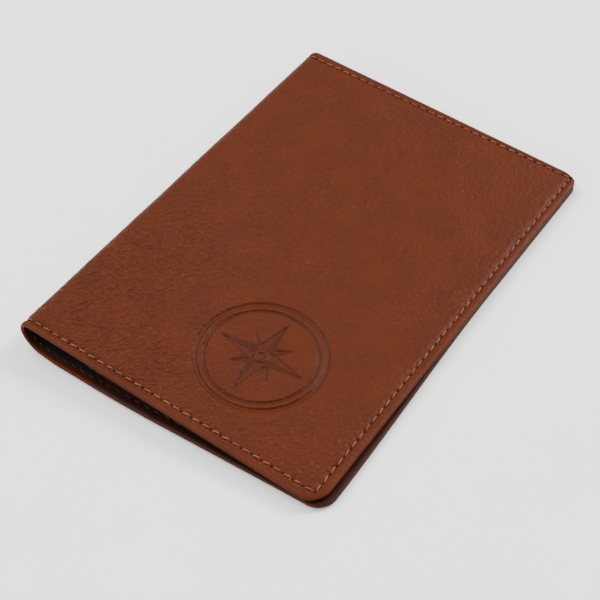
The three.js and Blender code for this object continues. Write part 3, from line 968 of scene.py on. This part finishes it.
# One stitch of unit length and width: two plies twisted, arched, both ends pulled down its holes.
def makeStitchShape():
    points, faces = [], []
    rings, sides = stitch["rings"], stitch["sides"]
    for i in range(rings):
        x = -0.5 + i / (rings - 1)
        middle = -stitch["sink"] * abs(2 * x) ** 4
        size = 0.5 * (1 - 0.35 * abs(2 * x) ** 6)
        for k in range(sides):
            angle = 2 * math.pi * k / sides
            lobe = 1 + 0.16 * math.cos(2 * (angle - math.pi * 2 * stitch["plies"] * x))
            points.append((x, size * lobe * math.cos(angle), middle + size * lobe * math.sin(angle)))
    for i in range(rings - 1):
        for k in range(sides):
            a, b = i * sides + k, i * sides + (k + 1) % sides
            faces.append((a, b, b + sides, a + sides))
    faces.append(tuple(range(sides))[::-1])
    faces.append(tuple(range((rings - 1) * sides, rings * sides)))
    mesh = bpy.data.meshes.new("oneStitch")
    faces = facesOut(np.array(points), faces)
    mesh.from_pydata(points, [], faces)
    mesh.shade_smooth()
    shape = bpy.data.objects.new("oneStitch", mesh)
    bpy.context.scene.collection.objects.link(shape)
    return shape


def makeStitchTree():
    tree = bpy.data.node_groups.new("sewRow", "GeometryNodeTree")
    sockets = {
        "Geometry": "NodeSocketGeometry",
        "Stitch": "NodeSocketObject",
        "Thread Width": "NodeSocketFloat",
        "Visible Share": "NodeSocketFloat",
        "Slant": "NodeSocketFloat",
        "Wobble": "NodeSocketFloat",
        "Seed": "NodeSocketInt",
        "Finish": "NodeSocketMaterial",
    }
    for label, kind in sockets.items():
        tree.interface.new_socket(label, in_out="INPUT", socket_type=kind)
    tree.interface.new_socket("Geometry", in_out="OUTPUT", socket_type="NodeSocketGeometry")
    given = addNode(tree, "NodeGroupInput").outputs
    lines = {}
    for label, kind in (("along", "FLOAT_VECTOR"), ("up", "FLOAT_VECTOR"), ("span", "FLOAT")):
        reading = addNode(tree, "GeometryNodeInputNamedAttribute", {"Name": label}, data_type=kind)
        lines[label] = reading.outputs["Attribute"]
    align = "FunctionNodeAlignRotationToVector"
    turned = addNode(tree, align, {"Vector": lines["along"]}, axis="X").outputs[0]
    upright = {"Rotation": turned, "Vector": lines["up"]}
    turned = addNode(tree, align, upright, axis="Z", pivot_axis="X").outputs[0]
    low = mathNode(tree, "SUBTRACT", given["Slant"], given["Wobble"])
    high = mathNode(tree, "ADD", given["Slant"], given["Wobble"])
    limits = {2: low, 3: high, "Seed": given["Seed"]}
    swing = addNode(tree, "FunctionNodeRandomValue", limits, data_type="FLOAT")
    euler = addNode(tree, "ShaderNodeCombineXYZ", {"Z": swing.outputs[1]}).outputs[0]
    local = addNode(tree, "FunctionNodeEulerToRotation", {0: euler}).outputs[0]
    turned = addNode(
        tree, "FunctionNodeRotateRotation", {"Rotation": turned, "Rotate By": local}, rotation_space="LOCAL"
    ).outputs[0]
    long = mathNode(tree, "MULTIPLY", lines["span"], given["Visible Share"])
    size = addNode(
        tree, "ShaderNodeCombineXYZ", {"X": long, "Y": given["Thread Width"], "Z": given["Thread Width"]}
    ).outputs[0]
    shape = addNode(tree, "GeometryNodeObjectInfo", {"Object": given["Stitch"]}).outputs["Geometry"]
    rows = addNode(
        tree,
        "GeometryNodeInstanceOnPoints",
        {"Points": given["Geometry"], "Instance": shape, "Rotation": turned, "Scale": size},
    ).outputs[0]
    real = addNode(tree, "GeometryNodeRealizeInstances", {"Geometry": rows}).outputs[0]
    finished = {"Geometry": real, "Material": given["Finish"]}
    done = addNode(tree, "GeometryNodeSetMaterial", finished).outputs[0]
    addNode(tree, "NodeGroupOutput", {0: done})
    return tree


stitchShape = makeStitchShape()
stitchTree = makeStitchTree()


# ends holds each stitch's two holes as (u, y); the row lies at depth, facing out or in.
def sewRow(name, side, ends, depth, faceOut, finish, widthShare=1.0):
    a, b = ends[:, 0], ends[:, 1]
    depthA = depth(a[:, 0], a[:, 1])
    depthB = depth(b[:, 0], b[:, 1])
    pa = place(side, a[:, 0], a[:, 1], depthA)
    pb = place(side, b[:, 0], b[:, 1], depthB)
    mid = (a + b) / 2
    depthMid = (depthA + depthB) / 2
    centre = place(side, mid[:, 0], mid[:, 1], depthMid)
    inner = place(side, mid[:, 0], mid[:, 1], depthMid + 0.1)
    up = (centre - inner) * (1 if faceOut else -1)
    up /= np.linalg.norm(up, axis=1)[:, None]
    along = pb - pa
    span = np.linalg.norm(along, axis=1)
    along /= span[:, None]
    mesh = bpy.data.meshes.new(name + "Row")
    mesh.from_pydata((centre * metresPerMm).tolist(), [], [])
    for key, kind, values in (
        ("along", "FLOAT_VECTOR", along), ("up", "FLOAT_VECTOR", up), ("span", "FLOAT", span * metresPerMm),
    ):
        field = "vector" if kind == "FLOAT_VECTOR" else "value"
        mesh.attributes.new(key, kind, "POINT").data.foreach_set(field, values.astype(np.float32).ravel())
    row = bpy.data.objects.new(name + "Row", mesh)
    bpy.context.scene.collection.objects.link(row)
    modifier = row.modifiers.new("sewRow", "NODES")
    modifier.node_group = stitchTree
    values = {
        "Stitch": stitchShape,
        "Thread Width": stitch["width"] * widthShare * metresPerMm,
        "Visible Share": stitch["share"],
        "Slant": math.radians(stitch["slantDegrees"]) * (1 if faceOut else -1),
        "Wobble": math.radians(stitch["wobbleDegrees"]),
        "Seed": stitch["seed"],
        "Finish": finish,
    }
    for item in stitchTree.interface.items_tree:
        if item.in_out == "INPUT" and item.name in values:
            modifier[item.identifier] = values[item.name]
    bpy.context.view_layer.update()
    graph = bpy.context.evaluated_depsgraph_get()
    ready = row.evaluated_get(graph)
    sewn = bpy.data.meshes.new_from_object(ready, preserve_all_data_layers=True, depsgraph=graph)
    if len(sewn.vertices) < len(ends):
        raise RuntimeError(name + " came out empty")
    sewn.name = name
    for key in ("along", "up", "span"):
        if key in sewn.attributes:
            sewn.attributes.remove(sewn.attributes[key])
    sewn.materials.clear()
    sewn.materials.append(finish)
    sewn.polygons.foreach_set("material_index", [0] * len(sewn.polygons))
    row.modifiers.clear()
    bpy.data.objects.remove(row)
    piece = bpy.data.objects.new(name, sewn)
    bpy.context.scene.collection.objects.link(piece)
    return piece


def onInnerFace(side):
    mouth = covers[side]["length"] - holder["sleeveWidth"]
    onLining = holder["liningDepth"][1] + 0.1
    rise = holder["sleeveDepth"][1] - holder["liningDepth"][1] - 0.14

    def depth(u, y):
        return onLining + rise * smooth(mouth - 1.6, mouth + 1.6, u)

    return depth


for side in ("back", "front"):
    rows = np.concatenate(list(stitchEnds[side].values()))
    label = side.capitalize()
    inValley = flatDepth(grain["seamValley"] - 0.1)
    needle = sewRow("needleStitches" + label, side, rows, inValley, True, topThread)
    bendWith(needle, side, side + "_needle_thread", "spine_needle_thread_near", "spine_needle_thread_far")
    bobbin = sewRow("bobbinStitches" + label, side, rows, onInnerFace(side), False, innerThread, 0.9)
    bendWith(bobbin, side, side + "_bobbin_thread", "spine_bobbin_thread_near", "spine_bobbin_thread_far")


def rowOf(u0, y0, u1, y1):
    length = math.hypot(u1 - u0, y1 - y0)
    count = max(1, round(length / holder["stitchPitch"]))
    t = np.arange(count + 1) / count
    holes = np.stack([u0 + (u1 - u0) * t, y0 + (y1 - y0) * t], 1)
    return np.stack([holes[:-1], holes[1:]], 1)


for side in ("back", "front"):
    hemLine = covers[side]["length"] - holder["sleeveWidth"] + sleeve["hemInset"]
    hemRow = rowOf(hemLine, -sleeve["hemHalf"], hemLine, sleeve["hemHalf"])
    onHem = flatDepth(holder["sleeveDepth"][1] - 0.02)
    hem = sewRow(side + "SleeveHemStitches", side, hemRow, onHem, False, topThread, 0.9)
    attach(hem, bodyOf[side])
    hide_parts(side + "_sleeve_hem_thread")

left, right = cards["u"][0] + cards["seamInset"], cards["u"][1] - cards["seamInset"]
foot, head = cards["bottom"] + cards["seamInset"], cards["mouths"][-1] - cards["seamInset"]
corners = ((left, head), (left, foot), (right, foot), (right, head))
blockRows = np.concatenate([rowOf(*start, *end) for start, end in zip(corners, corners[1:])])
onFacing = flatDepth(cards["depth"][1] - 0.04)
block = sewRow("cardBlockStitches", "front", blockRows, onFacing, False, topThread, 0.9)
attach(block, "front_cover")
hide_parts("card_block_thread")
bpy.data.objects.remove(stitchShape)
print("stitches sewn")

# Finishes of the kept CAD nodes.
keptFinish = {
    "back_stiffener_board": boardMaterial,
    "front_stiffener_board": boardMaterial,
    "card_pocket_tail_2": tailMaterial,
    "card_pocket_tail_3": tailMaterial,
}
for name, material in keptFinish.items():
    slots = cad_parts[name].data.materials
    slots.clear()
    slots.append(material)
print("kept nodes finished")

# Soft lights behind, in front and high on the left, over a pale floor.
studio = {
    "floor": ("#fdfcfb", "#f7f6f4"),
    "floorSize": 8.0,
    "floorDrop": 0.0003,
    "key": {"at": (0.9, 2.0, 1.75), "size": 1.1, "watts": 106.0},
    "fill": {"at": (-0.5, -1.8, 1.3), "size": 2.0, "watts": 32.0},
    "top": {"at": (-1.5, 0.0, 2.3), "size": 2.2, "watts": 84.0},
    "sky": ("#f6f7fa", 0.85),
}


def makeFloor():
    half, low = studio["floorSize"] / 2, -studio["floorDrop"]
    mesh = bpy.data.meshes.new("studioFloor")
    corners = [(-half, -half, low), (half, -half, low), (half, half, low), (-half, half, low)]
    mesh.from_pydata(corners, [], [(0, 1, 2, 3)])
    material, tree, shader = newMaterial("mattWhitePaperSweep", 0.9, 0.1)
    where = addNode(tree, "ShaderNodeTexCoord").outputs["Object"]
    cloud = addNode(tree, "ShaderNodeTexNoise", {"Vector": where, "Scale": 30.0, "Detail": 2.0}).outputs[0]
    tint = blendColour(tree, cloud, *(linear(shade) for shade in studio["floor"]))
    tree.links.new(tint, shader.inputs["Base Color"])
    mesh.materials.append(material)
    floor = bpy.data.objects.new("studioFloor", mesh)
    bpy.context.scene.collection.objects.link(floor)


def addSoftLight(name, at, size, watts):
    lamp = bpy.data.lights.new(name, "AREA")
    lamp.shape = "SQUARE"
    lamp.size, lamp.energy = size, watts
    light = bpy.data.objects.new(name, lamp)
    light.location = at
    light.rotation_mode = "QUATERNION"
    light.rotation_quaternion = (Vector((0, 0, 0)) - Vector(at)).to_track_quat("-Z", "Y")
    bpy.context.scene.collection.objects.link(light)


makeFloor()
for name in ("key", "fill", "top"):
    addSoftLight(name + "Softbox", **studio[name])
world = bpy.data.worlds.new("paleStudio")
bpy.context.scene.world = world
world.use_nodes = True
backdrop = world.node_tree.nodes["Background"]
backdrop.inputs["Color"].default_value = linear(studio["sky"][0])
backdrop.inputs["Strength"].default_value = studio["sky"][1]

# The camera's place in millimetres, and its axes.
shot = {
    "at": (halfWidth + 107.972, -219.659, 279.659),
    "right": (0.82111, 0.57009, -0.02782),
    "up": (-0.40620, 0.61791, 0.67319),
    "forward": (-0.40097, 0.54147, -0.73894),
    "lens": 81.377,
}
lensData = bpy.data.cameras.new("shotCamera")
lensData.lens, lensData.sensor_width = shot["lens"], 36.0
lensData.clip_start, lensData.clip_end = 0.01, 50.0
camera = bpy.data.objects.new("shotCamera", lensData)
rows = [[shot["right"][k], shot["up"][k], -shot["forward"][k], shot["at"][k] * metresPerMm] for k in range(3)]
camera.matrix_world = Matrix(rows + [[0, 0, 0, 1]])
bpy.context.scene.collection.objects.link(camera)
bpy.context.scene.camera = camera
print("studio and camera set")
